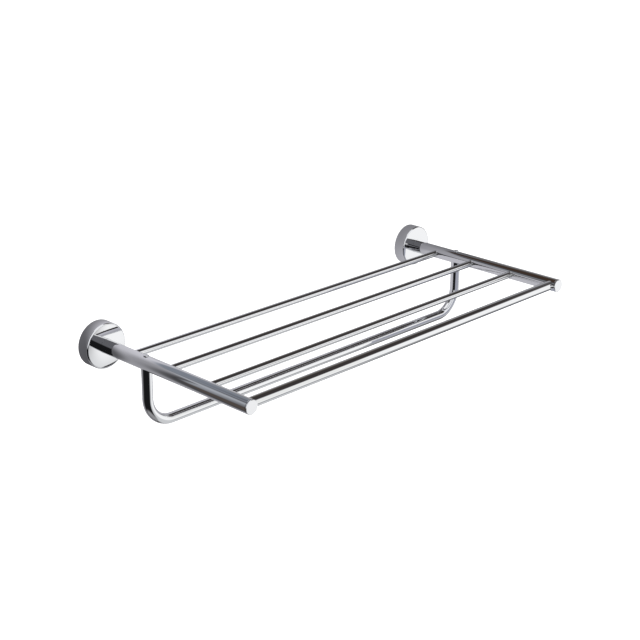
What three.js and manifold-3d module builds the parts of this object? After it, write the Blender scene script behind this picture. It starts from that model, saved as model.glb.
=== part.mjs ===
// Wall shelf for towels with a towel bar hanging under it, all in bright chrome.
// Millimetres, +Z up. The wall is the plane y = 0 and the front of the shelf faces -Y.
// The origin lies on the wall, midway between the side tubes and level with their centre lines.

import * as THREE from "three";
import { mergeVertices } from "three/addons/utils/BufferGeometryUtils.js";
import Module from "manifold-3d";

// Layout of the whole shelf
const tubeSpacing = 545; // between the centre lines of the side tubes
const shelfDepth = 257; // from the wall to the front of the end caps
const rearBarFromWall = 57.5;
const frontBarInset = 10; // from the front of the end caps back to the front bar
const middleBarShares = [0.325, 0.67]; // second and third bar, from the rear bar to the front bar
const towelBarShare = 0.485; // towel bar, from the rear bar to the second bar

// Free space where one piece meets another
const fitGap = 0.3;
const cutOverrun = 2; // how far a cutter runs past the surface that it opens

// Side tube
const tubeDiameter = 17;
const tubeWall = 1.5;

// End cap
const capFlangeThickness = 2;
const capSpigotLength = 8;
const capEdge = 0.5;

// Shelf bars
const thinBarDiameter = 8.5;
const thinBarReach = 1.8; // how far a thin bar runs into the bore of the side tube
const frontBarDiameter = 12.5;
const frontBarWall = 1.2;

// Towel bar, a tube bent into a wide U
const towelBarDiameter = 12.5;
const towelBarWall = 1.2;
const towelBarDrop = 76.5; // from the shelf down to the centre line of the towel bar
const towelBarBendRadius = 34; // to the centre line

// Screw and insert that hold each end of the towel bar
const towelScrewDiameter = 4;
const towelScrewLength = 13;
const towelScrewHeadDiameter = 6.4;
const towelScrewHeadHeight = 1.5;
const towelScrewSocket = 2.5; // across the corners of the hexagon
const towelScrewSpotDepth = 0.7; // flat sunk into the top of the side tube under the head
const towelInsertLength = 15;

// Rosette, the round cover at the wall
const rosetteDiameter = 55;
const rosetteDepth = 16.5;
const rosetteSideWall = 3;
const rosetteFrontWall = 3;
const rosetteBevel = 2;
const rosetteSeatDepth = 1; // recess that the side tube stands in

// Wall plate
const plateThickness = 2.5;
const plateRimHeight = 8; // from the wall
const plateRimWall = 2.5;
const plateStep = 2.2; // how far the rim is set in from the edge of the plate
const slotWidth = 5.2;
const slotLength = 11;
const slotSpacing = 27;

// Bolt, washer and insert that hold the side tube to the rosette
const boltDiameter = 8;
const boltHeadDiameter = 13;
const boltHeadRoom = 0.8; // left free between the bolt head and the wall plate
const boltLength = 18;
const boltSocket = 6; // across the corners of the hexagon
const washerDiameter = 17;
const washerThickness = 1.6;
const tubeInsertLength = 18;

// Grub screw that clamps the rosette to the wall plate
const grubDiameter = 4;
const grubSocket = 2.2; // across the corners of the hexagon
const grubRecess = 0.5; // how far the screw is sunk below the outside of the rosette

// How deep a hexagon socket is cut, as a share of the head or screw that it is cut in
const socketDepthShare = 0.45;

// Number of flats on round pieces
const largeRoundFlats = 64;
const tubeFlats = 40;
const smallRoundFlats = 24;
const bendSteps = 12;
const domeSteps = 3;
const slotEndSteps = 4;
const hexagonSides = 6;

// Places and radii that follow from the sizes above
const tubeRadius = tubeDiameter / 2;
const boreRadius = tubeRadius - tubeWall;
const thinBarRadius = thinBarDiameter / 2;
const towelBarRadius = towelBarDiameter / 2;
const towelBarBoreRadius = towelBarRadius - towelBarWall;
const rosetteRadius = rosetteDiameter / 2;
const rosetteInnerRadius = rosetteRadius - rosetteSideWall;
const rosetteInnerFace = rosetteDepth - rosetteFrontWall;
const seatFloor = rosetteDepth - rosetteSeatDepth;
const tubeBack = seatFloor + fitGap;
const tubeFront = shelfDepth - capFlangeThickness - fitGap;
const plateRadius = rosetteInnerRadius - fitGap;
const plateRimRadius = plateRadius - plateStep;
const plateRimInnerRadius = plateRimRadius - plateRimWall;
const grubFromWall = (plateThickness + plateRimHeight) / 2;
const frontBarFromWall = shelfDepth - frontBarInset;
const barSpan = frontBarFromWall - rearBarFromWall;
const middleBarsFromWall = middleBarShares.map((share) => rearBarFromWall + barSpan * share);
const [secondBarFromWall, thirdBarFromWall] = middleBarsFromWall;
const towelBarFromWall = rearBarFromWall + (secondBarFromWall - rearBarFromWall) * towelBarShare;
const towelBarTop = Math.sqrt(boreRadius ** 2 - towelBarRadius ** 2) - fitGap;
const washerFront = rosetteInnerFace - fitGap;
const washerBack = washerFront - washerThickness;
const boltHeadFront = washerBack - fitGap;
const boltHeadBack = plateThickness + boltHeadRoom;
const boltHoleRadius = boltDiameter / 2 + fitGap;
const towelScrewHoleRadius = towelScrewDiameter / 2 + fitGap;
const screwSeat = tubeRadius - towelScrewSpotDepth;

// Finishes
const chrome = { color: 0xdfe2e6, metalness: 1, roughness: 0.06 };
const zinc = { color: 0xaeb2b6, metalness: 1, roughness: 0.42 };
const steel = { color: 0xc2c4c8, metalness: 1, roughness: 0.24 };
const brass = { color: 0xc9a862, metalness: 1, roughness: 0.3 };

const wasm = await Module();
wasm.setup();

// Turns a closed three.js geometry into a solid with its faces pointing out.
function toSolid(geometry) {
  const bare = geometry.clone();
  bare.deleteAttribute("normal");
  bare.deleteAttribute("uv");
  const merged = mergeVertices(bare);
  const corners = merged.attributes.position;
  const index = merged.index.array;
  const triangles = [];
  const [a, b, c] = [new THREE.Vector3(), new THREE.Vector3(), new THREE.Vector3()];
  let volume = 0;
  for (let i = 0; i < index.length; i += 3) {
    const [p, q, r] = index.subarray(i, i + 3);
    if (p !== q && q !== r && r !== p) {
      triangles.push([p, q, r]);
      a.fromBufferAttribute(corners, p);
      b.fromBufferAttribute(corners, q);
      c.fromBufferAttribute(corners, r);
      volume += a.dot(b.cross(c));
    }
  }
  const outward = volume > 0 ? triangles : triangles.map(([p, q, r]) => [p, r, q]);
  const vertProperties = new Float32Array(corners.array);
  const triVerts = new Uint32Array(outward.flat());
  return new wasm.Manifold(new wasm.Mesh({ numProp: 3, vertProperties, triVerts }));
}

// Makes a named three.js mesh from a solid.
function toMesh(name, solid, finish) {
  const { vertProperties, triVerts } = solid.getMesh();
  const geometry = new THREE.BufferGeometry();
  geometry.setAttribute("position", new THREE.BufferAttribute(vertProperties, 3));
  geometry.setIndex(new THREE.BufferAttribute(triVerts, 1));
  geometry.computeVertexNormals();
  const mesh = new THREE.Mesh(geometry, new THREE.MeshStandardMaterial(finish));
  mesh.name = name;
  return mesh;
}

// Spins an outline of [radius, distance] pairs round the Y axis, with distances running towards -Y.
function turned(outline, flats) {
  const points = outline.map(([radius, distance]) => new THREE.Vector2(radius, -distance));
  return toSolid(new THREE.LatheGeometry(points, flats));
}

// A ring or sleeve round the Y axis.
function sleeve(innerRadius, outerRadius, from, to, flats) {
  const outline = [
    [innerRadius, from],
    [outerRadius, from],
    [outerRadius, to],
    [innerRadius, to],
    [innerRadius, from],
  ];
  return turned(outline, flats);
}

// A straight round or many-sided rod between two points.
function rod(radius, from, to, flats) {
  const run = new THREE.Vector3().subVectors(to, from);
  const middle = new THREE.Vector3().addVectors(from, to).divideScalar(2);
  const geometry = new THREE.CylinderGeometry(radius, radius, run.length(), flats);
  const turn = new THREE.Quaternion().setFromUnitVectors(new THREE.Vector3(0, 1, 0), run.normalize());
  geometry.applyQuaternion(turn);
  geometry.translate(middle.x, middle.y, middle.z);
  return toSolid(geometry);
}

function at(x, y, z) {
  return new THREE.Vector3(x, y, z);
}

// Wall plate: a disc with a raised rim and two upright slots for the wall screws.
function wallPlate(name) {
  const outline = [
    [0, 0],
    [plateRadius, 0],
    [plateRadius, plateThickness],
    [plateRimRadius, plateThickness],
    [plateRimRadius, plateRimHeight],
    [plateRimInnerRadius, plateRimHeight],
    [plateRimInnerRadius, plateThickness],
    [0, plateThickness],
  ];
  let plate = turned(outline, largeRoundFlats);
  const endOffset = (slotLength - slotWidth) / 2;
  const slot = new THREE.Shape();
  slot.absarc(0, endOffset, slotWidth / 2, 0, Math.PI, false);
  slot.absarc(0, -endOffset, slotWidth / 2, Math.PI, 2 * Math.PI, false);
  const depth = plateThickness + 2 * cutOverrun;
  const options = { depth, bevelEnabled: false, curveSegments: slotEndSteps };
  for (const direction of [-1, 1]) {
    const cutter = new THREE.ExtrudeGeometry(slot, options);
    cutter.rotateX(Math.PI / 2);
    cutter.translate((direction * slotSpacing) / 2, cutOverrun, 0);
    plate = plate.subtract(toSolid(cutter));
  }
  return toMesh(name, plate, zinc);
}

// Rosette: a turned cup with a bevelled front edge, a seat for the side tube and a hole for the grub screw.
function rosette(name) {
  const seatRadius = tubeRadius + fitGap;
  const outline = [
    [boltHoleRadius, seatFloor],
    [seatRadius, seatFloor],
    [seatRadius, rosetteDepth],
    [rosetteRadius - rosetteBevel, rosetteDepth],
    [rosetteRadius, rosetteDepth - rosetteBevel],
    [rosetteRadius, 0],
    [rosetteInnerRadius, 0],
    [rosetteInnerRadius, rosetteInnerFace],
    [boltHoleRadius, rosetteInnerFace],
    [boltHoleRadius, seatFloor],
  ];
  const cup = turned(outline, largeRoundFlats);
  const hole = rod(
    grubDiameter / 2 + fitGap,
    at(0, -grubFromWall, -rosetteRadius - cutOverrun),
    at(0, -grubFromWall, -rosetteInnerRadius + cutOverrun),
    smallRoundFlats,
  );
  return toMesh(name, cup.subtract(hole), chrome);
}

// Grub screw: stands in the underside of the rosette and ends just short of the rim of the wall plate.
function grubScrew(name) {
  const outerEnd = rosetteRadius - grubRecess;
  const innerEnd = plateRimRadius + fitGap;
  const socketDepth = (outerEnd - innerEnd) * socketDepthShare;
  const body = rod(grubDiameter / 2, at(0, 0, -outerEnd), at(0, 0, -innerEnd), smallRoundFlats);
  const socket = rod(
    grubSocket / 2,
    at(0, 0, -outerEnd - cutOverrun),
    at(0, 0, -outerEnd + socketDepth),
    hexagonSides,
  );
  const mesh = toMesh(name, body.subtract(socket), steel);
  mesh.position.y = -grubFromWall;
  return mesh;
}

// Bolt with a hexagon socket, its head inside the rosette and its shank in the insert of the side tube.
function tubeBolt(name) {
  const headRadius = boltHeadDiameter / 2;
  const boltTip = boltHeadFront + boltLength;
  const outline = [
    [0, boltHeadBack],
    [headRadius, boltHeadBack],
    [headRadius, boltHeadFront],
    [boltDiameter / 2, boltHeadFront],
    [boltDiameter / 2, boltTip],
    [0, boltTip],
  ];
  const socketDepth = (boltHeadFront - boltHeadBack) * socketDepthShare;
  const socket = rod(
    boltSocket / 2,
    at(0, -boltHeadBack + cutOverrun, 0),
    at(0, -boltHeadBack - socketDepth, 0),
    hexagonSides,
  );
  return toMesh(name, turned(outline, smallRoundFlats).subtract(socket), steel);
}

function boltWasher(name) {
  const ring = sleeve(boltHoleRadius, washerDiameter / 2, washerBack, washerFront, smallRoundFlats);
  return toMesh(name, ring, steel);
}

// Threaded insert in the rear end of the side tube.
function tubeInsert(name) {
  const outerRadius = boreRadius - fitGap;
  const ring = sleeve(boltHoleRadius, outerRadius, tubeBack, tubeBack + tubeInsertLength, smallRoundFlats);
  return toMesh(name, ring, brass);
}

// Side tube, with holes for the thin bars on its inner side, the towel bar below and the screw on top.
function sideTube(name, inward) {
  const outside = tubeRadius + cutOverrun;
  let tube = sleeve(boreRadius, tubeRadius, tubeBack, tubeFront, tubeFlats);
  const barHoleRadius = thinBarRadius + fitGap;
  for (const fromWall of [rearBarFromWall, ...middleBarsFromWall]) {
    const y = -fromWall;
    const barHole = rod(barHoleRadius, at(0, y, 0), at(inward * outside, y, 0), smallRoundFlats);
    tube = tube.subtract(barHole);
  }
  const y = -towelBarFromWall;
  const spotRadius = towelScrewHeadDiameter / 2 + fitGap;
  const legHole = rod(towelBarRadius + fitGap, at(0, y, -outside), at(0, y, 0), tubeFlats);
  const screwHole = rod(towelScrewHoleRadius, at(0, y, 0), at(0, y, outside), smallRoundFlats);
  const spot = rod(spotRadius, at(0, y, screwSeat), at(0, y, outside), smallRoundFlats);
  tube = tube.subtract(legHole).subtract(screwHole).subtract(spot);
  return toMesh(name, tube, chrome);
}

// End cap: a flat disc as wide as the side tube, with a spigot in its bore.
function endCap(name) {
  const flangeBack = shelfDepth - capFlangeThickness;
  const spigotRadius = boreRadius - fitGap;
  const outline = [
    [0, flangeBack - capSpigotLength],
    [spigotRadius, flangeBack - capSpigotLength],
    [spigotRadius, flangeBack],
    [tubeRadius, flangeBack],
    [tubeRadius, shelfDepth - capEdge],
    [tubeRadius - capEdge, shelfDepth],
    [0, shelfDepth],
  ];
  return toMesh(name, turned(outline, tubeFlats), chrome);
}

// Domed screw that runs through the top of the side tube into the insert of the towel bar.
function towelScrew(name) {
  const headRadius = towelScrewHeadDiameter / 2;
  const headBottom = screwSeat + fitGap;
  const headEdge = headBottom + towelScrewHeadHeight / 2;
  const domeHeight = towelScrewHeadHeight / 2;
  const outline = [
    [0, headBottom - towelScrewLength],
    [towelScrewDiameter / 2, headBottom - towelScrewLength],
    [towelScrewDiameter / 2, headBottom],
    [headRadius, headBottom],
    [headRadius, headEdge],
  ];
  for (let step = 1; step <= domeSteps; step += 1) {
    const angle = (step / domeSteps) * (Math.PI / 2);
    const radius = step === domeSteps ? 0 : headRadius * Math.cos(angle);
    outline.push([radius, headEdge + domeHeight * Math.sin(angle)]);
  }
  const head = turned(outline, smallRoundFlats);
  const socketFloor = headBottom + towelScrewHeadHeight * (1 - socketDepthShare);
  const socketTop = headBottom + towelScrewHeadHeight + cutOverrun;
  const socket = rod(towelScrewSocket / 2, at(0, -socketTop, 0), at(0, -socketFloor, 0), hexagonSides);
  const mesh = toMesh(name, head.subtract(socket), chrome);
  mesh.rotation.x = -Math.PI / 2;
  mesh.position.y = -towelBarFromWall;
  return mesh;
}

// Threaded insert in the end of the towel bar.
function towelInsert(name) {
  const outerRadius = towelBarBoreRadius - fitGap;
  const ring = sleeve(towelScrewHoleRadius, outerRadius, 0, towelInsertLength, smallRoundFlats);
  const mesh = toMesh(name, ring, brass);
  mesh.rotation.x = Math.PI / 2;
  mesh.position.set(0, -towelBarFromWall, towelBarTop);
  return mesh;
}

// Thin shelf bar: a solid rod whose ends stand in the bores of the side tubes.
function thinBar(name, fromWall) {
  const halfLength = tubeSpacing / 2 - boreRadius + thinBarReach;
  const bar = rod(thinBarRadius, at(-halfLength, 0, 0), at(halfLength, 0, 0), smallRoundFlats);
  const mesh = toMesh(name, bar, chrome);
  mesh.position.y = -fromWall;
  return mesh;
}

// Front bar: a tube whose ends are cut to the round of the side tubes that they are brazed to.
function frontBar(name) {
  const halfLength = tubeSpacing / 2;
  const radius = frontBarDiameter / 2;
  const outer = rod(radius, at(-halfLength, 0, 0), at(halfLength, 0, 0), tubeFlats);
  const bore = rod(
    radius - frontBarWall,
    at(-halfLength - cutOverrun, 0, 0),
    at(halfLength + cutOverrun, 0, 0),
    tubeFlats,
  );
  let bar = outer.subtract(bore);
  for (const direction of [-1, 1]) {
    const x = direction * halfLength;
    const reach = radius + cutOverrun;
    bar = bar.subtract(rod(tubeRadius + fitGap, at(x, -reach, 0), at(x, reach, 0), tubeFlats));
  }
  const mesh = toMesh(name, bar, chrome);
  mesh.position.y = -frontBarFromWall;
  return mesh;
}

// Centre line of the towel bar: down one leg, round a bend, along, round a bend and up the other leg.
// Its points lie closer together in the bends, where they are needed.
class TowelBarRoute extends THREE.Curve {
  constructor() {
    super();
    const halfSpan = tubeSpacing / 2;
    const bendX = halfSpan - towelBarBendRadius;
    const bendZ = towelBarBendRadius - towelBarDrop;
    this.stations = [{ place: at(-halfSpan, 0, towelBarTop), heading: at(0, 0, -1) }];
    for (let step = 0; step <= bendSteps; step += 1) {
      const angle = Math.PI + (step / bendSteps) * (Math.PI / 2);
      this.addBendStation(-bendX, bendZ, angle);
    }
    for (let step = 0; step <= bendSteps; step += 1) {
      const angle = (3 * Math.PI) / 2 + (step / bendSteps) * (Math.PI / 2);
      this.addBendStation(bendX, bendZ, angle);
    }
    this.stations.push({ place: at(halfSpan, 0, towelBarTop), heading: at(0, 0, 1) });
  }

  addBendStation(centreX, centreZ, angle) {
    const x = centreX + towelBarBendRadius * Math.cos(angle);
    const z = centreZ + towelBarBendRadius * Math.sin(angle);
    this.stations.push({ place: at(x, 0, z), heading: at(-Math.sin(angle), 0, Math.cos(angle)) });
  }

  nearest(share) {
    return this.stations[Math.round(share * (this.stations.length - 1))];
  }

  getPoint(share) {
    return this.nearest(share).place.clone();
  }

  getPointAt(share) {
    return this.getPoint(share);
  }

  getTangentAt(share) {
    return this.nearest(share).heading.clone();
  }
}

function towelBar(name) {
  const route = new TowelBarRoute();
  const section = new THREE.Shape();
  section.absarc(0, 0, towelBarRadius, 0, 2 * Math.PI, false);
  const bore = new THREE.Path();
  bore.absarc(0, 0, towelBarBoreRadius, 0, 2 * Math.PI, true);
  section.holes.push(bore);
  const steps = route.stations.length - 1;
  const options = { extrudePath: route, steps, bevelEnabled: false, curveSegments: tubeFlats / 2 };
  const mesh = toMesh(name, toSolid(new THREE.ExtrudeGeometry(section, options)), chrome);
  mesh.position.y = -towelBarFromWall;
  return mesh;
}

// One end of the shelf, from the wall plate to the end cap
function makeSide(side, inward) {
  const group = new THREE.Group();
  group.add(
    wallPlate(`wall_plate_${side}`),
    rosette(`rosette_${side}`),
    grubScrew(`rosette_grub_screw_${side}`),
    tubeBolt(`tube_bolt_${side}`),
    boltWasher(`tube_bolt_washer_${side}`),
    tubeInsert(`tube_insert_${side}`),
    sideTube(`side_tube_${side}`, inward),
    endCap(`end_cap_${side}`),
    towelScrew(`towel_bar_screw_${side}`),
    towelInsert(`towel_bar_insert_${side}`),
  );
  group.position.x = (-inward * tubeSpacing) / 2;
  return group;
}

const shelf = new THREE.Group();
shelf.add(makeSide("left", 1), makeSide("right", -1));
shelf.add(
  thinBar("shelf_bar_rear", rearBarFromWall),
  thinBar("shelf_bar_second", secondBarFromWall),
  thinBar("shelf_bar_third", thirdBarFromWall),
  frontBar("shelf_bar_front"),
  towelBar("towel_bar"),
);

export default shelf;
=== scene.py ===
import math
import bmesh
import bpy
from mathutils import Matrix, Vector


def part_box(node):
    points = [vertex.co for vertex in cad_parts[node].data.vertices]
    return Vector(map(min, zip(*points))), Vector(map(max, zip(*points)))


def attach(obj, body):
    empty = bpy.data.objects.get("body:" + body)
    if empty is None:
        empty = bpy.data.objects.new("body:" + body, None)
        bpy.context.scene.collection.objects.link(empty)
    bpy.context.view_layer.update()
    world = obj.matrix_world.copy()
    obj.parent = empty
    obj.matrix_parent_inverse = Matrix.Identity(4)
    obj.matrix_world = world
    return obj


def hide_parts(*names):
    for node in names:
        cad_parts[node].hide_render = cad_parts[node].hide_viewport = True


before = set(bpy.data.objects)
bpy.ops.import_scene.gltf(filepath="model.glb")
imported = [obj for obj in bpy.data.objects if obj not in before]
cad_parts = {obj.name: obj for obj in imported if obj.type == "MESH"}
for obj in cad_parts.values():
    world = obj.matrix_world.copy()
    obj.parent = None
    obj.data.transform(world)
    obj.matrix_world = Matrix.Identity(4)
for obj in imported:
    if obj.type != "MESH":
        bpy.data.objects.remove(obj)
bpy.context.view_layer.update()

print("Frame loaded with", len(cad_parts), "nodes")

mm = 0.001  # Blender works in metres, and the sizes below are in millimetres
tiny = 1e-6
flush = 1e-5  # how far a face may lie from the plane that it is picked in
sameWay = 0.999  # how closely the normal of a face has to follow a direction
overrun = mm  # how far a cutter runs past the surface that it opens
quad = 4
hexagon = 6
quarterTurn = math.radians(90)
halfCircle = 180.0
bothSides = ("left", "right")


# Camera at the angle of the photograph, in millimetres and degrees
cameraSetup = {
    "place": (-1170.3, -1210.0, 585.7),
    "azimuth": -46.301,
    "elevation": 20.501,
    "roll": 0.635,
    "lens": 78.305,
    "sensor": 36.0,
}


def makeCamera():
    azimuth = math.radians(cameraSetup["azimuth"])
    elevation = math.radians(cameraSetup["elevation"])
    roll = math.radians(cameraSetup["roll"])
    towardsCamera = Vector((
        math.sin(azimuth) * math.cos(elevation),
        -math.cos(azimuth) * math.cos(elevation),
        math.sin(elevation),
    ))
    level = Vector((math.cos(azimuth), math.sin(azimuth), 0))
    upright = towardsCamera.cross(level)
    right = level * math.cos(roll) + upright * math.sin(roll)
    up = upright * math.cos(roll) - level * math.sin(roll)
    turn = Matrix((right, up, towardsCamera)).transposed()
    data = bpy.data.cameras.new("productCamera")
    data.lens = cameraSetup["lens"]
    data.sensor_width = cameraSetup["sensor"]
    camera = bpy.data.objects.new("productCamera", data)
    camera.matrix_world = Matrix.Translation(Vector(cameraSetup["place"]) * mm) @ turn.to_4x4()
    bpy.context.collection.objects.link(camera)
    bpy.context.scene.camera = camera


makeCamera()
print("Camera set")


# Selecting and modelling
def makeActive(piece):
    bpy.ops.object.select_all(action="DESELECT")
    piece.select_set(True)
    bpy.context.view_layer.objects.active = piece


def startEdit(piece, kind):
    makeActive(piece)
    bpy.ops.object.mode_set(mode="EDIT")
    bpy.ops.mesh.select_mode(type=kind)
    bpy.ops.mesh.select_all(action="DESELECT")


def endEdit():
    bpy.ops.object.mode_set(mode="OBJECT")


def pickFaces(piece, test):
    startEdit(piece, "FACE")
    for face in bmesh.from_edit_mesh(piece.data).faces:
        face.select_set(test(face))
    bmesh.update_edit_mesh(piece.data)


def pickEdges(piece, test):
    startEdit(piece, "EDGE")
    for edge in bmesh.from_edit_mesh(piece.data).edges:
        edge.select_set(test(edge))
    bmesh.update_edit_mesh(piece.data)


def facing(direction, point=None):
    # A test for the faces that look one way, only those level with a point if it is given
    direction = Vector(direction)

    def test(face):
        offset = 0 if point is None else (face.calc_center_median() - Vector(point)).dot(direction)
        return face.normal.dot(direction) > sameWay and abs(offset) < flush

    return test


def rim(point, direction):
    # A test for the edges that lie in the plane through a point
    def test(edge):
        return all(abs((vertex.co - Vector(point)).dot(Vector(direction))) < tiny for vertex in edge.verts)

    return test


def push(x=0.0, y=0.0, z=0.0):
    bpy.ops.mesh.extrude_region_move(TRANSFORM_OT_translate={"value": (x, y, z)})


def addRod(name, radius, start, end, sides):
    start, end = Vector(start), Vector(end)
    run = end - start
    bpy.ops.object.select_all(action="DESELECT")
    bpy.ops.mesh.primitive_cylinder_add(
        vertices=sides,
        radius=radius,
        depth=run.length,
        location=(start + end) / 2,
        rotation=run.to_track_quat("Z", "Y").to_euler(),
    )
    piece = bpy.context.object
    piece.name = name
    bpy.ops.object.transform_apply(location=True, rotation=True, scale=True)
    return piece


def addRings(piece, direction, points):
    # Extra edge loops beside a cut keep the shading of the rest of a long rod clean
    for point in points:
        startEdit(piece, "EDGE")
        bpy.ops.mesh.select_all(action="SELECT")
        bpy.ops.mesh.bisect(plane_co=point, plane_no=direction)
        endEdit()


def boreOut(piece, axis, lowEnd, highEnd, wall):
    # Opens both ends of a rod and joins the openings with a bore
    ends = [facing(Vector(axis) * sign, end) for sign, end in ((-1, lowEnd), (1, highEnd))]
    for isEnd in ends:
        pickFaces(piece, isEnd)
        bpy.ops.mesh.inset(thickness=wall)
        endEdit()
    pickFaces(piece, lambda face: len(face.verts) > quad and any(isEnd(face) for isEnd in ends))
    bpy.ops.mesh.delete(type="FACE")
    endEdit()
    joinOpenings(piece)


def joinOpenings(piece):
    pickEdges(piece, lambda edge: edge.is_boundary)
    bpy.ops.mesh.bridge_edge_loops()
    bpy.ops.mesh.select_all(action="SELECT")
    bpy.ops.mesh.normals_make_consistent(inside=False)
    endEdit()


def cut(piece, cutter):
    makeActive(piece)
    modifier = piece.modifiers.new("cut", "BOOLEAN")
    modifier.object = cutter
    modifier.operation = "DIFFERENCE"
    modifier.solver = "EXACT"
    bpy.ops.object.modifier_apply(modifier=modifier.name)
    bpy.data.objects.remove(cutter, do_unlink=True)


smoothing = {"angle": 25.0, "segments": 2}


def smooth(piece, edgeWidth=0.0):
    # Smooth shading that keeps flat faces flat, with the sharp edges rounded by a width if it is given
    makeActive(piece)
    angle = math.radians(smoothing["angle"])
    bpy.ops.object.shade_smooth_by_angle(angle=angle)
    if edgeWidth:
        modifier = piece.modifiers.new("edges", "BEVEL")
        modifier.width = edgeWidth
        modifier.segments = smoothing["segments"]
        modifier.limit_method = "ANGLE"
        modifier.angle_limit = angle
        modifier.harden_normals = True
        bpy.ops.object.modifier_apply(modifier=modifier.name)


def finishPiece(piece, material, node):
    piece.data.materials.clear()
    piece.data.materials.append(material)
    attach(piece, "root")
    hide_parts(node)


def inMetres(shape):
    # The lengths of a piece, which all have a decimal point. Its counts are whole numbers and are left out
    return {name: value * mm for name, value in shape.items() if isinstance(value, float)}


def placeOf(node):
    low, high = (Vector(corner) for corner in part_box(node))
    return low, high, (low + high) / 2


def copyAt(piece, step):
    # A copy with a mesh of its own, moved by a step
    makeActive(piece)
    bpy.ops.object.duplicate(linked=False)
    twin = bpy.context.object
    twin.location = step
    bpy.ops.object.transform_apply(location=True, rotation=True, scale=True)
    return twin


def finishRepeats(piece, material, node, places):
    # The piece stands at the first of its places, and a copy goes to each of the others
    name, start = piece.name, placeOf(f"{node}_{places[0]}")[2]
    pieces = [piece] + [copyAt(piece, placeOf(f"{node}_{place}")[2] - start) for place in places[1:]]
    for one, place in zip(pieces, places):
        one.name = f"{name}_{place}"
        finishPiece(one, material, f"{node}_{place}")


# Finishes
def put(tree, kind, inputs=None, **settings):
    # Adds a node, sets it up and wires its inputs
    node = tree.nodes.new(kind)
    for name, value in settings.items():
        setattr(node, name, value)
    for name, value in (inputs or {}).items():
        if isinstance(value, bpy.types.NodeSocket):
            tree.links.new(value, node.inputs[name])
        else:
            node.inputs[name].default_value = value
    return node


def calculate(tree, operation, *values):
    return put(tree, "ShaderNodeMath", dict(enumerate(values)), operation=operation).outputs[0]


def newMetal(name):
    material = bpy.data.materials.new(name)
    material.use_nodes = True
    tree = material.node_tree
    shader = tree.nodes["Principled BSDF"]
    shader.inputs["Metallic"].default_value = 1
    return material, tree, shader


even = (1, 1, 1)  # the stretch of a pattern that is the same all ways


def pattern(tree, stretch, scale, detail):
    place = put(tree, "ShaderNodeTexCoord")
    mapping = put(tree, "ShaderNodeMapping", {"Vector": place.outputs["Object"], "Scale": stretch})
    inputs = {"Vector": mapping.outputs[0], "Scale": scale, "Detail": detail}
    return put(tree, "ShaderNodeTexNoise", inputs).outputs["Fac"]


noiseRange = (0.3, 0.7)  # where nearly all values of a noise lie


def spread(tree, value, low, high):
    least, most = noiseRange
    inputs = {"Value": value, "From Min": least, "From Max": most, "To Min": low, "To Max": high}
    return put(tree, "ShaderNodeMapRange", inputs).outputs["Result"]


def blend(tree, value, first, second):
    inputs = {"Factor": value, "A": (*first, 1), "B": (*second, 1)}
    return put(tree, "ShaderNodeMix", inputs, data_type="RGBA").outputs["Result"]


def coat(tree, shader, colour, roughness):
    tree.links.new(colour, shader.inputs["Base Color"])
    tree.links.new(roughness, shader.inputs["Roughness"])


def emboss(tree, shader, value, height):
    bump = put(tree, "ShaderNodeBump", {"Height": value, "Distance": height * mm, "Strength": 1.0})
    tree.links.new(bump.outputs["Normal"], shader.inputs["Normal"])


chromeFinish = {
    "bright": (0.90, 0.905, 0.915),
    "cool": (0.865, 0.875, 0.895),
    "roughness": (0.015, 0.04),
    "cloudScale": 25.0,
    "cloudDetail": 4,
    "markScale": 700.0,
    "markDetail": 2,
    "markGain": 2.0,
    "waveScale": 45.0,
    "waveDetail": 1,
    "waveHeight": 0.03,
}


def makeChrome(name, markStretch):
    # Polished chrome with soft clouds, fine polishing marks along the piece and a hardly visible waviness
    material, tree, shader = newMetal(name)
    clouds = pattern(tree, even, chromeFinish["cloudScale"], chromeFinish["cloudDetail"])
    marks = pattern(tree, markStretch, chromeFinish["markScale"], chromeFinish["markDetail"])
    waves = pattern(tree, even, chromeFinish["waveScale"], chromeFinish["waveDetail"])
    both = calculate(tree, "MULTIPLY", clouds, marks)
    wear = calculate(tree, "MULTIPLY", both, chromeFinish["markGain"])
    colour = blend(tree, clouds, chromeFinish["bright"], chromeFinish["cool"])
    coat(tree, shader, colour, spread(tree, wear, *chromeFinish["roughness"]))
    emboss(tree, shader, waves, chromeFinish["waveHeight"])
    return material


zincFinish = {
    "light": (0.80, 0.82, 0.85),
    "dark": (0.60, 0.62, 0.65),
    "roughness": (0.34, 0.55),
    "patchScale": 160.0,
    "grainScale": 900.0,
    "grainDetail": 5,
    "grainHeight": 0.01,
}


def makeZinc(name):
    # Zinc plate with faint crystal patches and a dull, slightly uneven surface
    material, tree, shader = newMetal(name)
    place = put(tree, "ShaderNodeTexCoord")
    inputs = {"Vector": place.outputs["Object"], "Scale": zincFinish["patchScale"]}
    cells = put(tree, "ShaderNodeTexVoronoi", inputs)
    tone = put(tree, "ShaderNodeRGBToBW", {"Color": cells.outputs["Color"]})
    grain = pattern(tree, even, zincFinish["grainScale"], zincFinish["grainDetail"])
    colour = blend(tree, tone.outputs["Val"], zincFinish["dark"], zincFinish["light"])
    coat(tree, shader, colour, spread(tree, grain, *zincFinish["roughness"]))
    emboss(tree, shader, grain, zincFinish["grainHeight"])
    return material


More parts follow.
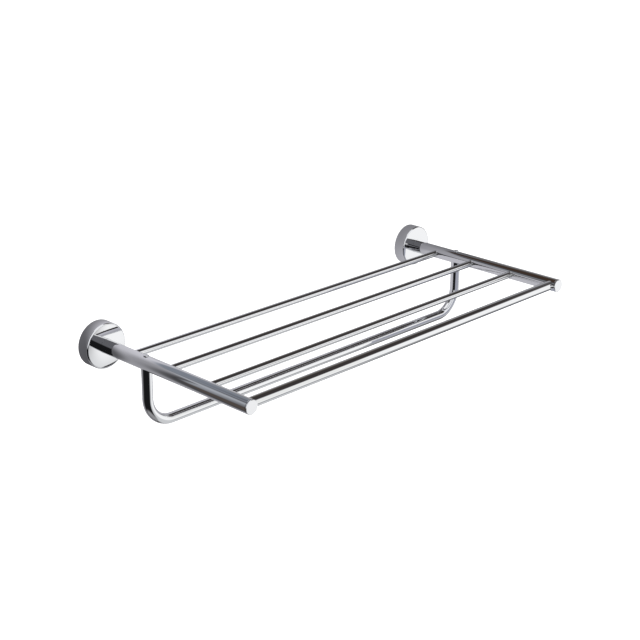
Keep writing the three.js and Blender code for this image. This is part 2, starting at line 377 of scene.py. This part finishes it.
patchSetup = {"scale": 180.0, "detail": 3}  # soft patches of both turned finishes
turnedFinishes = {
    "screwSteel": {
        "light": (0.72, 0.73, 0.74),
        "dark": (0.52, 0.53, 0.55),
        "roughness": (0.16, 0.34),
        "grooveStretch": (0.2, 1.0, 0.2),
        "grooveScale": 2600.0,
        "grooveDetail": 4,
        "grooveHeight": 0.004,
    },
    "insertBrass": {
        "light": (0.83, 0.67, 0.36),
        "dark": (0.62, 0.47, 0.22),
        "roughness": (0.2, 0.4),
        "grooveStretch": (0.15, 1.0, 0.15),
        "grooveScale": 2400.0,
        "grooveDetail": 4,
        "grooveHeight": 0.006,
    },
}


def makeTurned(name):
    # Turned metal with fine tool marks round the piece
    finish = turnedFinishes[name]
    material, tree, shader = newMetal(name)
    grooves = pattern(tree, finish["grooveStretch"], finish["grooveScale"], finish["grooveDetail"])
    patches = pattern(tree, even, patchSetup["scale"], patchSetup["detail"])
    colour = blend(tree, patches, finish["dark"], finish["light"])
    coat(tree, shader, colour, spread(tree, grooves, *finish["roughness"]))
    emboss(tree, shader, grooves, finish["grooveHeight"])
    return material


along = 0.05  # draws the polishing marks out along a piece
barChrome = makeChrome("barChrome", (along, 1, 1))
tubeChrome = makeChrome("tubeChrome", (1, along, 1))
turnedChrome = makeChrome("turnedChrome", even)
zincPlate = makeZinc("zincPlate")
screwSteel = makeTurned("screwSteel")
insertBrass = makeTurned("insertBrass")
print("Finishes made")


# Wall plates: discs with a raised rim and two upright slots
plateShape = {
    "thickness": 2.5,
    "rimWall": 2.5,
    "rimStep": 2.2,
    "slot": (5.2, 11.0),
    "slotSpacing": 27.0,
    "edge": 0.3,
    "sides": 96,
    "slotSides": 48,
}
lowerSide = {"down": -0.05, "endwise": 0.5}  # limits of a normal's Z and Y


def onLowerSide(face):
    # The faces round the lower half of a rod that runs along Y, without its ends
    return face.normal.z < lowerSide["down"] and abs(face.normal.y) < lowerSide["endwise"]


def makeWallPlates():
    low, high, middle = placeOf("wall_plate_left")
    radius, x = (high.x - low.x) / 2, middle.x
    disc = -plateShape["thickness"] * mm
    plate = addRod("wallPlate", radius, (x, 0, 0), (x, disc, 0), plateShape["sides"])
    pickFaces(plate, facing((0, -1, 0)))
    bpy.ops.mesh.inset(thickness=plateShape["rimStep"] * mm)
    push(y=low.y - disc)
    bpy.ops.mesh.inset(thickness=plateShape["rimWall"] * mm)
    push(y=disc - low.y)
    endEdit()
    width, length = (size * mm for size in plateShape["slot"])
    halfRun = (length - width) / 2
    for direction in (-1, 1):
        slotX = x + direction * plateShape["slotSpacing"] / 2 * mm
        start, end = (slotX, overrun, halfRun), (slotX, disc - overrun, halfRun)
        cutter = addRod("slotCutter", width / 2, start, end, plateShape["slotSides"])
        pickFaces(cutter, onLowerSide)
        push(z=-2 * halfRun)
        endEdit()
        cut(plate, cutter)
    smooth(plate, plateShape["edge"] * mm)
    finishRepeats(plate, zincPlate, "wall_plate", bothSides)


# Rosettes: turned cups with a rounded front edge, a seat for the side tube and a hole for the grub screw
rosetteShape = {
    "sideWall": 3.0,
    "frontWall": 3.0,
    "bevel": 2.0,
    "bevelSteps": 6,
    "seatRadius": 8.6,
    "seatDepth": 1.0,
    "boltHole": 4.3,
    "grubHole": 2.1,
    "edge": 0.15,
    "sides": 180,
    "holeSides": 48,
}


def makeRosettes():
    low, high, middle = placeOf("rosette_left")
    size = inMetres(rosetteShape)
    radius, x, front = (high.x - low.x) / 2, middle.x, low.y
    cup = addRod("rosetteCup", radius, (x, 0, 0), (x, front, 0), rosetteShape["sides"])
    pickEdges(cup, rim((x, front, 0), (0, 1, 0)))
    bpy.ops.mesh.bevel(offset=size["bevel"], segments=rosetteShape["bevelSteps"], affect="EDGES")
    endEdit()
    pickFaces(cup, facing((0, -1, 0), (x, front, 0)))
    bpy.ops.mesh.inset(thickness=radius - size["bevel"] - size["seatRadius"])
    push(y=size["seatDepth"])
    bpy.ops.mesh.inset(thickness=size["seatRadius"] - size["boltHole"])
    bpy.ops.mesh.delete(type="FACE")
    endEdit()
    pickFaces(cup, facing((0, 1, 0), (x, 0, 0)))
    bpy.ops.mesh.inset(thickness=size["sideWall"])
    push(y=front + size["frontWall"])
    bpy.ops.mesh.inset(thickness=radius - size["sideWall"] - size["boltHole"])
    bpy.ops.mesh.delete(type="FACE")
    endEdit()
    joinOpenings(cup)
    y = placeOf("rosette_grub_screw_left")[2].y
    start = (x, y, -radius - overrun)
    end = (x, y, -radius + size["sideWall"] + overrun)
    cut(cup, addRod("grubCutter", size["grubHole"], start, end, rosetteShape["holeSides"]))
    smooth(cup, size["edge"])
    finishRepeats(cup, turnedChrome, "rosette", bothSides)


# Grub screws with a hexagon socket, under the rosettes
grubShape = {"socket": 1.1, "socketDepth": 2.1, "edge": 0.2, "sides": 48}


def makeGrubScrews():
    low, high, middle = placeOf("rosette_grub_screw_left")
    radius, x, y = (high.x - low.x) / 2, middle.x, middle.y
    screw = addRod("grubScrew", radius, (x, y, low.z), (x, y, high.z), grubShape["sides"])
    start, end = (x, y, low.z - overrun), (x, y, low.z + grubShape["socketDepth"] * mm)
    cut(screw, addRod("socketCutter", grubShape["socket"] * mm, start, end, hexagon))
    smooth(screw, grubShape["edge"] * mm)
    finishRepeats(screw, screwSteel, "rosette_grub_screw", bothSides)


# Side tubes with their bore, the holes for the bars and the flat for the screw head. The right one is the
# mirror image of the left one, so each is modelled by itself
tubeShape = {
    "wall": 1.5,
    "capJoint": 0.05,  # gap between the tube and the flange of its end cap
    "edge": 0.12,
    "edgeRing": 0.36,  # from the front edge to an extra ring
    "edgeSteps": 2,
    "fit": 0.06,  # how much wider a hole is all round than what stands in it
    "spotDepth": 0.7,  # how deep the flat under the screw head goes
    "ringGap": 0.8,  # from the edge of a hole to the extra rings beside it
    "sides": 160,
    "holeSides": 64,
}
inwardFrom = {"left": 1, "right": -1}  # which way is inward along X
thinBars = ("rear", "second", "third")


def makeSideTube(side):
    low, high, centre = placeOf(f"side_tube_{side}")
    size = inMetres(tubeShape)
    radius, x = (high.x - low.x) / 2, centre.x
    outside = radius + 2 * overrun
    flangeBack = placeOf(f"end_cap_{side}")[0].y + capShape["flange"] * mm
    back, front = Vector((x, high.y, 0)), Vector((x, flangeBack + size["capJoint"], 0))
    tube = addRod(f"sideTube_{side}", radius, back, front, tubeShape["sides"])
    boreOut(tube, (0, 1, 0), front, back, size["wall"])
    addRings(tube, (0, 1, 0), [front + Vector((0, size["edgeRing"], 0))])
    pickEdges(tube, rim(front, (0, 1, 0)))
    bpy.ops.mesh.bevel(offset=size["edge"], segments=tubeShape["edgeSteps"], affect="EDGES")
    endEdit()
    middle, inward = Vector((0, 0, 0)), Vector((inwardFrom[side] * outside, 0, 0))
    top, seat = Vector((0, 0, outside)), Vector((0, 0, radius - size["spotDepth"]))
    holes = []  # place along the tube, radius, and from where to where the hole is cut
    for name in thinBars:
        barLow, barHigh, bar = placeOf(f"shelf_bar_{name}")
        holes.append((bar.y, (barHigh.y - barLow.y) / 2, middle, inward))
    legLow, legHigh, leg = placeOf("towel_bar")
    holes.append((leg.y, (legHigh.y - legLow.y) / 2, -top, middle))
    headLow, headHigh, head = placeOf(f"towel_bar_screw_{side}")
    holes.append((head.y, (headHigh.y - headLow.y) / 2, seat, top))
    holes.append((head.y, towelScrewShape["shank"] * mm, middle, top))
    for y, holeRadius, *span in holes:
        reach = holeRadius + size["ringGap"]
        addRings(tube, (0, 1, 0), [(x, y - reach, 0), (x, y + reach, 0)])
    for y, holeRadius, *span in holes:
        start, end = (Vector((x, y, 0)) + point for point in span)
        cut(tube, addRod("holeCutter", holeRadius + size["fit"], start, end, tubeShape["holeSides"]))
    smooth(tube)
    finishPiece(tube, tubeChrome, f"side_tube_{side}")


# End caps: flat discs with a fine chamfer, and a spigot that stands in the side tube
capShape = {
    "flange": 2.0,
    "spigotRadius": 6.7,
    "chamfer": 0.5,
    "chamferSteps": 1,
    "edge": 0.08,
    "sides": 160,
}


def makeEndCaps():
    low, high, middle = placeOf("end_cap_left")
    radius, x = (high.x - low.x) / 2, middle.x
    flangeBack = low.y + capShape["flange"] * mm
    cap = addRod("endCap", radius, (x, flangeBack, 0), (x, low.y, 0), capShape["sides"])
    pickEdges(cap, rim((x, low.y, 0), (0, 1, 0)))
    chamfer = capShape["chamfer"] * mm
    bpy.ops.mesh.bevel(offset=chamfer, segments=capShape["chamferSteps"], affect="EDGES")
    endEdit()
    pickFaces(cap, facing((0, 1, 0)))
    bpy.ops.mesh.inset(thickness=radius - capShape["spigotRadius"] * mm)
    push(y=high.y - flangeBack)
    endEdit()
    smooth(cap, capShape["edge"] * mm)
    finishRepeats(cap, turnedChrome, "end_cap", bothSides)


# Thin shelf bars: solid rods with their ends in the side tubes
thinBarShape = {"sides": 96, "edge": 0.3}


def makeThinBars():
    low, high, middle = placeOf("shelf_bar_rear")
    start, end = (low.x, middle.y, middle.z), (high.x, middle.y, middle.z)
    bar = addRod("shelfBar", (high.z - low.z) / 2, start, end, thinBarShape["sides"])
    smooth(bar, thinBarShape["edge"] * mm)
    finishRepeats(bar, barChrome, "shelf_bar", thinBars)


# Front bar: a tube cut to the round of the side tubes
frontBarShape = {
    "wall": 1.2,
    "sides": 128,
    "fit": 0.03,  # gap between the bar and the side tubes
    "ringGap": 14.0,  # from the middle of a side tube to an extra ring
    "copeSides": 160,
}


def makeFrontBar():
    low, high, middle = placeOf("shelf_bar_front")
    radius, y = (high.z - low.z) / 2, middle.y
    centres = {side: placeOf(f"side_tube_{side}")[2].x for side in bothSides}
    left, right = Vector((centres["left"], y, 0)), Vector((centres["right"], y, 0))
    bar = addRod("shelfBar_front", radius, left, right, frontBarShape["sides"])
    boreOut(bar, (1, 0, 0), left, right, frontBarShape["wall"] * mm)
    ringGap = Vector((frontBarShape["ringGap"] * mm, 0, 0))
    addRings(bar, (1, 0, 0), [left + ringGap, right - ringGap])
    for side, x in centres.items():
        tubeLow, tubeHigh = placeOf(f"side_tube_{side}")[:2]
        tubeRadius = (tubeHigh.x - tubeLow.x) / 2 + frontBarShape["fit"] * mm
        reach = radius + 2 * overrun
        start, end = (x, y - reach, 0), (x, y + reach, 0)
        cut(bar, addRod("copeCutter", tubeRadius, start, end, frontBarShape["copeSides"]))
    smooth(bar)
    finishPiece(bar, barChrome, "shelf_bar_front")


# Towel bar: a tube bent into a wide U, started as a ring at the top of the left leg
towelBarShape = {"bend": 34.0, "wall": 1.2, "sides": 96, "bendSteps": 36}


def makeTowelBar():
    low, high, middle = placeOf("towel_bar")
    y, radius = middle.y, (high.y - low.y) / 2
    bend = towelBarShape["bend"] * mm
    leftX, rightX, bendZ = low.x + radius, high.x - radius, low.z + radius + bend
    bpy.ops.object.select_all(action="DESELECT")
    start = (leftX, y, high.z)
    bpy.ops.mesh.primitive_circle_add(vertices=towelBarShape["sides"], radius=radius, location=start)
    bar = bpy.context.object
    bar.name = "towelBar"
    bpy.ops.object.transform_apply(location=True, rotation=True, scale=True)
    turn = {"steps": towelBarShape["bendSteps"], "angle": quarterTurn, "axis": (0, 1, 0)}
    startEdit(bar, "EDGE")
    bpy.ops.mesh.select_all(action="SELECT")
    push(z=bendZ - high.z)
    bpy.ops.mesh.spin(center=(leftX + bend, y, bendZ), **turn)
    push(x=rightX - leftX - 2 * bend)
    bpy.ops.mesh.spin(center=(rightX - bend, y, bendZ), **turn)
    push(z=high.z - bendZ)
    bpy.ops.mesh.select_all(action="SELECT")
    bpy.ops.mesh.remove_doubles(threshold=tiny)
    bpy.ops.mesh.normals_make_consistent(inside=False)
    endEdit()
    modifier = bar.modifiers.new("wall", "SOLIDIFY")
    modifier.thickness = towelBarShape["wall"] * mm
    modifier.offset = -1
    bpy.ops.object.modifier_apply(modifier=modifier.name)
    smooth(bar)
    finishPiece(bar, barChrome, "towel_bar")


# Domed screws with a hexagon socket, on top of the side tubes
towelScrewShape = {
    "shank": 2.0,
    "headHeight": 1.5,
    "dome": 0.75,
    "domeSteps": 6,
    "socket": 1.25,
    "socketDepth": 0.8,
    "edge": 0.06,
    "sides": 64,
}


def makeTowelScrews():
    low, high, middle = placeOf("towel_bar_screw_left")
    radius, x, y = (high.x - low.x) / 2, middle.x, middle.y
    headBottom = high.z - towelScrewShape["headHeight"] * mm
    top = (x, y, high.z)
    screw = addRod("towelBarScrew", radius, (x, y, headBottom), top, towelScrewShape["sides"])
    pickEdges(screw, rim(top, (0, 0, 1)))
    dome = towelScrewShape["dome"] * mm
    bpy.ops.mesh.bevel(offset=dome, segments=towelScrewShape["domeSteps"], affect="EDGES")
    endEdit()
    pickFaces(screw, facing((0, 0, -1)))
    bpy.ops.mesh.inset(thickness=radius - towelScrewShape["shank"] * mm)
    push(z=low.z - headBottom)
    endEdit()
    start, end = (x, y, high.z - towelScrewShape["socketDepth"] * mm), (x, y, high.z + overrun)
    cut(screw, addRod("socketCutter", towelScrewShape["socket"] * mm, start, end, hexagon))
    smooth(screw, towelScrewShape["edge"] * mm)
    finishRepeats(screw, turnedChrome, "towel_bar_screw", bothSides)


makeWallPlates()
makeRosettes()
makeGrubScrews()
print("Wall fixings made")
for side in bothSides:
    makeSideTube(side)
makeEndCaps()
makeTowelScrews()
print("Side tubes made")
makeThinBars()
makeFrontBar()
makeTowelBar()
print("Bars made")

# The pieces inside the shelf keep their own shape and get their finish
insideFinishes = {
    "tube_bolt": screwSteel,
    "tube_bolt_washer": screwSteel,
    "tube_insert": insertBrass,
    "towel_bar_insert": insertBrass,
}
for name, finish in insideFinishes.items():
    for side in bothSides:
        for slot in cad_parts[f"{name}_{side}"].material_slots:
            slot.material = finish


# Studio
def newStageMaterial(name):
    material = bpy.data.materials.new(name)
    material.use_nodes = True
    material.node_tree.nodes.clear()
    return material, material.node_tree


def addUpright(name, low, high, y):
    # A plane that stands along the wall between two corners, all in metres
    (lowX, lowZ), (highX, highZ) = low, high
    place = ((lowX + highX) / 2, y, (lowZ + highZ) / 2)
    bpy.ops.object.select_all(action="DESELECT")
    bpy.ops.mesh.primitive_plane_add(size=1, location=place, rotation=(quarterTurn, 0, 0))
    piece = bpy.context.object
    piece.name = name
    piece.scale = (highX - lowX, highZ - lowZ, 1)
    bpy.ops.object.transform_apply(location=True, rotation=True, scale=True)
    return piece


def onlyReflected(piece):
    piece.visible_camera = False
    piece.visible_diffuse = False
    piece.visible_transmission = False
    piece.visible_shadow = False


def softRange(tree, value, low, high, soft):
    # 1 between the low and the high value, falling softly to 0 outside
    distance = calculate(tree, "ABSOLUTE", calculate(tree, "SUBTRACT", value, (low + high) / 2))
    half = (high - low) / 2
    inputs = {
        "Value": distance,
        "From Min": half - soft,
        "From Max": half + soft,
        "To Min": 1.0,
        "To Max": 0.0,
    }
    return put(tree, "ShaderNodeMapRange", inputs, interpolation_type="SMOOTHSTEP").outputs["Result"]


# A dark tent stands round the shelf, seen only in its reflections, with a window to the white background.
# Its cards go from edge to edge, in degrees. Azimuth runs from the front (0) over the right (90) to the wall
# (180), and elevation from level (0) to straight up (90).
# A card covers the ones before it. The rim glow lights what it reaches in one reflection, so it leaves out
# the shelf's own mirror images.
tentSetup = {"radius": 4000.0, "segments": 96, "rings": 48, "tone": (0.043, 0.038, 0.037)}
tentCards = {
    "blackFront": {"azimuth": (-115, 15), "elevation": (-48, 17), "soft": 6, "tone": (0.010, 0.010, 0.011)},
    "lowFront": {"azimuth": (-115, 8), "elevation": (-95, -52), "soft": 6, "tone": (0.30, 0.30, 0.31)},
    "lowLeft": {"azimuth": (-185, -115), "elevation": (-65, -5), "soft": 8, "tone": (0.085, 0.070, 0.062)},
    "backLeft": {"azimuth": (-182, -128), "elevation": (-2, 38), "soft": 8, "tone": (0.41, 0.43, 0.47)},
    "highBack": {"azimuth": (140, 210), "elevation": (27, 51), "soft": 6, "tone": (0.22, 0.24, 0.28)},
    "warmBack": {"azimuth": (140, 215), "elevation": (53, 64), "soft": 3, "tone": (0.050, 0.032, 0.023)},
    "backRight": {"azimuth": (128, 152), "elevation": (8, 31), "soft": 7, "tone": (0.34, 0.34, 0.35)},
    "highRight": {"azimuth": (106, 140), "elevation": (31, 46), "soft": 5, "tone": (0.13, 0.115, 0.10)},
    "highLeft": {"azimuth": (-60, 34), "elevation": (17, 80), "soft": 5, "tone": (0.13, 0.13, 0.14)},
    "rimGlow": {"azimuth": (-62, 40), "elevation": (-8, 80), "soft": 5, "tone": (0.86, 0.87, 0.90)},
    "overhead": {"azimuth": (-190, 190), "elevation": (65, 100), "soft": 4, "tone": (0.95, 0.95, 0.96)},
    "farRight": {"azimuth": (76, 128), "elevation": (-31, 33), "soft": 6, "tone": (0.36, 0.36, 0.38)},
    "lowRight": {"azimuth": (8, 130), "elevation": (-80, -20), "soft": 8, "tone": (0.64, 0.65, 0.66)},
    "lowBand": {"azimuth": (40, 127), "elevation": (-40, -27), "soft": 3, "tone": (0.25, 0.255, 0.265)},
    "lowBandRight": {"azimuth": (73, 122), "elevation": (-47, -31), "soft": 3, "tone": (0.09, 0.092, 0.10)},
}
tentWindow = {"azimuth": (27, 74), "elevation": (-28, 23), "soft": 7}
directCards = {"names": ("rimGlow",), "belowDepth": 1.5}


def cardCover(tree, azimuth, elevation, card):
    first, last = card["azimuth"]
    middle, half = (first + last) / 2, (last - first) / 2
    turned = calculate(tree, "WRAP", calculate(tree, "SUBTRACT", azimuth, middle), halfCircle, -halfCircle)
    across = softRange(tree, turned, -half, half, card["soft"])
    upright = softRange(tree, elevation, *card["elevation"], card["soft"])
    return calculate(tree, "MULTIPLY", across, upright)


def makeTent():
    segments, rings, radius = tentSetup["segments"], tentSetup["rings"], tentSetup["radius"] * mm
    bpy.ops.object.select_all(action="DESELECT")
    bpy.ops.mesh.primitive_uv_sphere_add(segments=segments, ring_count=rings, radius=radius)
    tent = bpy.context.object
    tent.name = "tent"
    material, tree = newStageMaterial("tentCloth")
    place = put(tree, "ShaderNodeTexCoord")
    direction = put(tree, "ShaderNodeVectorMath", {0: place.outputs["Object"]}, operation="NORMALIZE")
    axes = put(tree, "ShaderNodeSeparateXYZ", {0: direction.outputs[0]})
    toFront = calculate(tree, "MULTIPLY", axes.outputs["Y"], -1.0)
    azimuth = calculate(tree, "DEGREES", calculate(tree, "ARCTAN2", axes.outputs["X"], toFront))
    elevation = calculate(tree, "DEGREES", calculate(tree, "ARCSINE", axes.outputs["Z"]))
    colour = put(tree, "ShaderNodeRGB").outputs[0]
    colour.default_value = (*tentSetup["tone"], 1)
    depth = put(tree, "ShaderNodeLightPath").outputs["Ray Depth"]
    direct = calculate(tree, "LESS_THAN", depth, directCards["belowDepth"])
    for name, card in tentCards.items():
        cover = cardCover(tree, azimuth, elevation, card)
        if name in directCards["names"]:
            cover = calculate(tree, "MULTIPLY", cover, direct)
        inputs = {"Factor": cover, "A": colour, "B": (*card["tone"], 1)}
        colour = put(tree, "ShaderNodeMix", inputs, data_type="RGBA").outputs["Result"]
    cloth = put(tree, "ShaderNodeEmission", {"Color": colour})
    clear = put(tree, "ShaderNodeBsdfTransparent")
    window = cardCover(tree, azimuth, elevation, tentWindow)
    both = put(tree, "ShaderNodeMixShader", {0: window, 1: cloth.outputs[0], 2: clear.outputs[0]})
    put(tree, "ShaderNodeOutputMaterial", {"Surface": both.outputs[0]})
    tent.data.materials.append(material)
    onlyReflected(tent)


# Pale board behind the shelf, as on a display wall, which shows only in the reflections. It glows, and its
# glow is painted light: brighter and darker by place, with painted shadows beside the rosettes
boardSetup = {
    "low": (-440.0, -390.0),
    "high": (500.0, 112.0),
    "soft": 14.0,
    "fromShelf": 0.2,
    "tint": (1.0, 0.99, 1.06),
    "lean": 0.2,  # how far the tones move sideways with the height, as a slope
    "upperFrom": (-40.0, 30.0),  # the heights between which the upper part takes over
    "shadeOffset": (-14.0, -8.0),  # from the middle of a rosette to the middle of its shade
    "shadeRadii": (28.0, 62.0),  # from full shade to none
}
# Painted light on the board: its brightness by the place from left to right in millimetres, and the factors
# that the upper part takes them by
boardLightTones = {
    -425: 0.065,
    -405: 0.11,
    -388: 0.18,
    -370: 0.26,
    -350: 0.31,
    -270: 0.37,
    -100: 0.50,
    200: 0.54,
    280: 0.50,
    500: 0.52,
}
upperLightFactors = {
    -340: 1.0,
    -280: 1.5,
    -215: 1.5,
    -180: 1.15,
    -90: 1.1,
    0: 0.85,
    60: 0.72,
    230: 0.62,
    360: 0.35,
    500: 0.3,
}
# How dark the painted shadow beside each rosette is where it is fullest
shadeTones = {"left": 0.29, "right": 0.86}
startStops = 2  # a new colour ramp has two stops already


def ramp(tree, value, tones):
    first, last = min(tones), max(tones)
    inputs = {"Value": value, "From Min": first * mm, "From Max": last * mm}
    share = put(tree, "ShaderNodeMapRange", inputs).outputs["Result"]
    colours = put(tree, "ShaderNodeValToRGB", {0: share})
    stops = colours.color_ramp.elements
    for index, (reach, tone) in enumerate(tones.items()):
        position = (reach - first) / (last - first)
        stop = stops[index] if index < startStops else stops.new(position)
        stop.position = position
        stop.color = (tone, tone, tone, 1)
    return colours.outputs["Color"]


# Painted light of the board: brightness by place, leaning with the height, and changed by a factor in the
# upper part
def boardLight(tree, across, upright):
    leaning = calculate(tree, "MULTIPLY_ADD", upright, boardSetup["lean"], across)
    start, end = (height * mm for height in boardSetup["upperFrom"])
    inputs = {"Value": upright, "From Min": start, "From Max": end}
    upper = put(tree, "ShaderNodeMapRange", inputs, interpolation_type="SMOOTHSTEP").outputs["Result"]
    change = calculate(tree, "SUBTRACT", ramp(tree, across, upperLightFactors), 1.0)
    factor = calculate(tree, "MULTIPLY_ADD", upper, change, 1.0)
    return calculate(tree, "MULTIPLY", ramp(tree, leaning, boardLightTones), factor)


# Painted shadow that a rosette casts on the board, set off to the left and down from it
def rosetteShade(tree, across, upright, side):
    offsetX, offsetZ = boardSetup["shadeOffset"]
    sideways = calculate(tree, "SUBTRACT", across, placeOf(f"rosette_{side}")[2].x + offsetX * mm)
    height = calculate(tree, "SUBTRACT", upright, offsetZ * mm)
    square = calculate(tree, "MULTIPLY", sideways, sideways)
    square = calculate(tree, "MULTIPLY_ADD", height, height, square)
    near, far = (radius * mm for radius in boardSetup["shadeRadii"])
    distance = calculate(tree, "SQRT", square)
    inputs = {"Value": distance, "From Min": near, "From Max": far, "To Min": shadeTones[side]}
    return put(tree, "ShaderNodeMapRange", inputs, interpolation_type="SMOOTHSTEP").outputs["Result"]


def makeBoard():
    lowX, lowZ = (value * mm for value in boardSetup["low"])
    highX, highZ = (value * mm for value in boardSetup["high"])
    soft = boardSetup["soft"] * mm
    low, high = (lowX - soft, lowZ - soft), (highX + soft, highZ + soft)
    board = addUpright("board", low, high, boardSetup["fromShelf"] * mm)
    material, tree = newStageMaterial("boardPaintedLight")
    axes = put(tree, "ShaderNodeSeparateXYZ", {0: put(tree, "ShaderNodeTexCoord").outputs["Object"]})
    across, upright = axes.outputs["X"], axes.outputs["Z"]
    light = boardLight(tree, across, upright)
    # Each rosette's painted shadow darkens the board's glow
    for side in bothSides:
        light = calculate(tree, "MULTIPLY", light, rosetteShade(tree, across, upright, side))
    # The board's glow carries the painted light and the painted rosette shadows
    paint = put(tree, "ShaderNodeEmission", {"Color": (*boardSetup["tint"], 1), "Strength": light})
    clear = put(tree, "ShaderNodeBsdfTransparent")
    faceOn = calculate(tree, "SUBTRACT", 1.0, put(tree, "ShaderNodeNewGeometry").outputs["Backfacing"])
    inside = softRange(tree, across, lowX, highX, soft)
    inside = calculate(tree, "MULTIPLY", inside, softRange(tree, upright, lowZ, highZ, soft))
    seen = calculate(tree, "MULTIPLY", inside, faceOn)
    both = put(tree, "ShaderNodeMixShader", {0: seen, 1: clear.outputs[0], 2: paint.outputs[0]})
    put(tree, "ShaderNodeOutputMaterial", {"Surface": both.outputs[0]})
    board.data.materials.append(material)
    onlyReflected(board)


# Cards close to the shelf. The grey one dims the right ends of the thin bars and of the towel bar, and the
# white one brightens the right rosette, side tube and end cap
nearCards = {
    "greyCard": {"low": (200.0, -165.0), "high": (425.0, -55.0), "y": -200.0, "tone": (0.36, 0.37, 0.43)},
    "whiteCard": {"low": (-240.0, -110.0), "high": (150.0, 150.0), "y": -500.0, "tone": (0.92, 0.92, 0.90)},
}


def makeNearCard(name):
    card = nearCards[name]
    low, high = ([value * mm for value in card[corner]] for corner in ("low", "high"))
    piece = addUpright(name, low, high, card["y"] * mm)
    material, tree = newStageMaterial(f"{name}Paint")
    paint = put(tree, "ShaderNodeEmission", {"Color": (*card["tone"], 1)})
    put(tree, "ShaderNodeOutputMaterial", {"Surface": paint.outputs[0]})
    piece.data.materials.append(material)
    onlyReflected(piece)


# White background for the camera, for reflections and for what shines through, and a plain grey light on
# the rest
worldSetup = {"light": 0.55}


def makeWorld():
    world = bpy.data.worlds.new("studio")
    bpy.context.scene.world = world
    world.use_nodes = True
    tree = world.node_tree
    tree.nodes.clear()
    rays = put(tree, "ShaderNodeLightPath")
    seen = calculate(tree, "ADD", rays.outputs["Is Camera Ray"], rays.outputs["Is Glossy Ray"])
    seen = calculate(tree, "ADD", seen, rays.outputs["Is Transmission Ray"])
    seen = calculate(tree, "MINIMUM", seen, 1.0)
    inputs = {"Value": seen, "To Min": worldSetup["light"], "To Max": 1.0}
    strength = put(tree, "ShaderNodeMapRange", inputs).outputs["Result"]
    background = put(tree, "ShaderNodeBackground", {"Color": (1, 1, 1, 1), "Strength": strength})
    put(tree, "ShaderNodeOutputWorld", {"Surface": background.outputs[0]})


# Plain pale floor well below the shelf, clear from underneath
floorSetup = {"height": -450.0, "size": 24000.0, "tone": 0.8, "lift": 0.85}


def makeFloor():
    bpy.ops.object.select_all(action="DESELECT")
    size, height = floorSetup["size"] * mm, floorSetup["height"] * mm
    bpy.ops.mesh.primitive_plane_add(size=size, location=(0, 0, height))
    floor = bpy.context.object
    floor.name = "floor"
    material, tree = newStageMaterial("floorPaint")
    tone = floorSetup["tone"]
    paint = put(tree, "ShaderNodeBsdfDiffuse", {"Color": (tone, tone, tone, 1)})
    rays = put(tree, "ShaderNodeLightPath")
    strength = calculate(tree, "MULTIPLY", rays.outputs["Is Camera Ray"], floorSetup["lift"])
    lift = put(tree, "ShaderNodeEmission", {"Strength": strength})
    both = put(tree, "ShaderNodeAddShader", {0: paint.outputs[0], 1: lift.outputs[0]})
    clear = put(tree, "ShaderNodeBsdfTransparent")
    under = put(tree, "ShaderNodeNewGeometry").outputs["Backfacing"]
    oneSided = put(tree, "ShaderNodeMixShader", {0: under, 1: both.outputs[0], 2: clear.outputs[0]})
    put(tree, "ShaderNodeOutputMaterial", {"Surface": oneSided.outputs[0]})
    floor.data.materials.append(material)
    floor.visible_glossy = False


# Soft lamp from the right and the front, aimed at the shelf
lampSetup = {"place": (1400.0, -1600.0, 500.0), "size": 1200.0, "power": 42.0}


def makeLamp():
    data = bpy.data.lights.new("softLamp", "AREA")
    data.shape = "SQUARE"
    data.size = lampSetup["size"] * mm
    data.energy = lampSetup["power"]
    lamp = bpy.data.objects.new("softLamp", data)
    lamp.location = Vector(lampSetup["place"]) * mm
    lamp.rotation_euler = (-lamp.location).to_track_quat("-Z", "Y").to_euler()
    lamp.visible_glossy = False
    bpy.context.collection.objects.link(lamp)


makeTent()
makeBoard()
for name in nearCards:
    makeNearCard(name)
makeWorld()
makeFloor()
makeLamp()
bpy.context.scene.view_settings.view_transform = "Standard"
print("Studio set")
